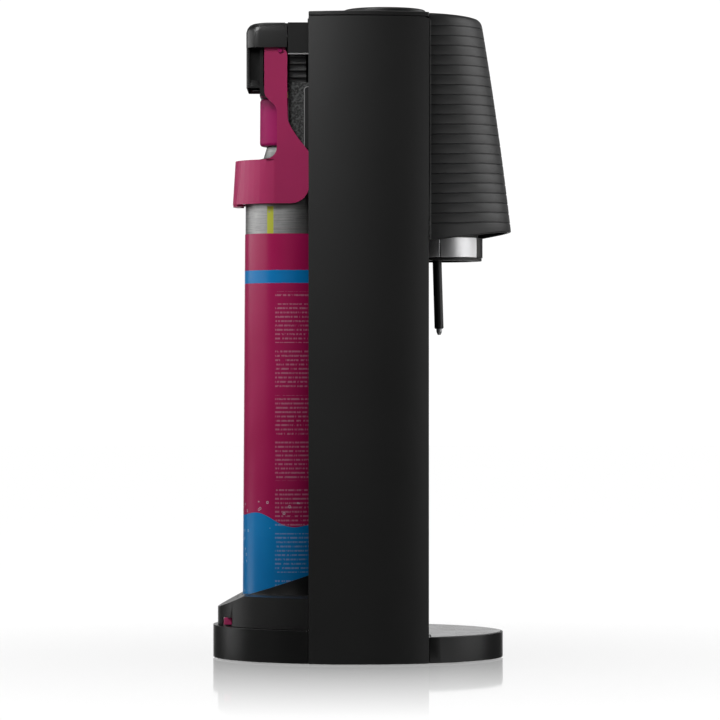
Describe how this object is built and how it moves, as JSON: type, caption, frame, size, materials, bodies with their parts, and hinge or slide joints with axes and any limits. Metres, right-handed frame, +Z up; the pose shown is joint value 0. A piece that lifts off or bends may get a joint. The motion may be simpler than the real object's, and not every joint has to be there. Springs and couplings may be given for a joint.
{
  "type": "soda carbonator",
  "caption": "Countertop soda carbonator with a push button, tapering ribbed head, tilting bottle socket, drip tray and an open rear bay for a gas cylinder.",
  "frame": {"origin": "bottom centre of the whole machine's bounding box, on the surface it stands on", "axes": "+X to the front (bottle side), +Y to the machine's left, +Z up"},
  "size_m": [0.1985, 0.172, 0.431],
  "materials": {
    "black_shell": "fine satin moulded black plastic",
    "gloss_black": "smooth black plastic",
    "textured_grey": "grained black plastic",
    "magenta": "satin magenta plastic",
    "sleeve": "printed magenta and blue sleeve",
    "aluminium": "turned aluminium",
    "steel": "brushed steel",
    "brass": "turned brass",
    "rubber": "black rubber",
    "frame": "dark grey structural plastic"
  },
  "bodies": {
    "machine": {"base_plate": "frame", "base_screw_1": "steel", "base_screw_2": "steel", "base_screw_3": "steel", "base_screw_4": "steel", "base_shell": "black_shell", "button_guide": "frame", "button_spring": "steel", "chassis_deck": "frame", "chassis_web": "frame", "cradle_bracket_left": "frame", "cradle_bracket_right": "frame", "cylinder_seat": "black_shell", "foot_1": "rubber", "foot_2": "rubber", "foot_3": "rubber", "foot_4": "rubber", "front_fascia": "black_shell", "gas_hose": "rubber", "gas_valve_block": "black_shell", "head_cover": "black_shell", "head_floor": "black_shell", "hood_pin": "steel", "hood_shroud": "black_shell", "inlet_seal": "rubber", "lever_pin": "steel", "rear_channel": "black_shell", "relief_valve": "brass", "ribbed_cheek_left": "black_shell", "ribbed_cheek_right": "black_shell", "side_panel_left": "black_shell", "side_panel_right": "black_shell", "top_cover": "black_shell", "valve_housing": "textured_grey"},
    "button": {"press_button": "black_shell"},
    "lever": {"valve_lever": "frame"},
    "plunger": {"valve_plunger": "brass"},
    "cradle": {"bottle_socket": "black_shell", "neck_gasket": "rubber", "snap_collar": "steel", "collar_lip": "black_shell", "carbonating_tube": "gloss_black", "nozzle_tip": "steel", "tube_fitting": "brass", "cradle_pin_left": "steel", "cradle_pin_right": "steel"},
    "hood": {"hood_cap": "black_shell", "release_handle": "magenta", "handle_screw_left": "steel", "handle_screw_right": "steel"},
    "cylinder": {"gas_cylinder": "aluminium", "cylinder_sleeve": "sleeve", "cylinder_cap": "magenta", "cylinder_valve": "brass", "valve_pin": "steel"},
    "tray": {"drip_tub": "black_shell", "drip_plate": "textured_grey"},
    "catch": {"cover_catch": "magenta"}
  },
  "joints": [
    {"name": "button_press", "type": "slide", "parent": "machine", "child": "button", "axis": [0, 0, -1], "range_m": [0, 0.006], "stiffness_N_per_m": 600, "springref_m": -0.001, "deforming": ["button_spring"]},
    {"name": "lever_rock", "type": "hinge", "parent": "machine", "child": "lever", "pos_m": [-0.03275, 0, 0.394], "axis": [0, 1, 0], "range_deg": [0, 7.4]},
    {"name": "plunger_press", "type": "slide", "parent": "machine", "child": "plunger", "axis": [0, 0, -1], "range_m": [0, 0.0016]},
    {"name": "socket_tilt", "type": "hinge", "parent": "machine", "child": "cradle", "pos_m": [0.05025, 0, 0.3], "axis": [0, -1, 0], "range_deg": [0, 18]},
    {"name": "hood_lift", "type": "hinge", "parent": "machine", "child": "hood", "pos_m": [-0.05175, 0, 0.4176], "axis": [0, 1, 0], "range_deg": [0, 80]},
    {"name": "cylinder_tip", "type": "hinge", "parent": "machine", "child": "cylinder", "pos_m": [-0.07965, 0, 0.041], "axis": [0, -1, 0], "range_deg": [0, 6.2]},
    {"name": "tray_lift", "type": "slide", "parent": "machine", "child": "tray", "axis": [0, 0, 1], "range_m": [0, 0.03]},
    {"name": "catch_slide", "type": "slide", "parent": "machine", "child": "catch", "axis": [-1, 0, 0], "range_m": [0, 0.0011], "stiffness_N_per_m": 300, "springref_m": -0.001}
  ],
  "couplings": [
    {"joint": "lever_rock", "follows": "button_press", "rad_per_m": 21.008},
    {"joint": "plunger_press", "follows": "button_press", "ratio": 0.2521},
    {"joint": "cylinder_tip", "follows": "hood_lift", "ratio": 0.075}
  ]
}
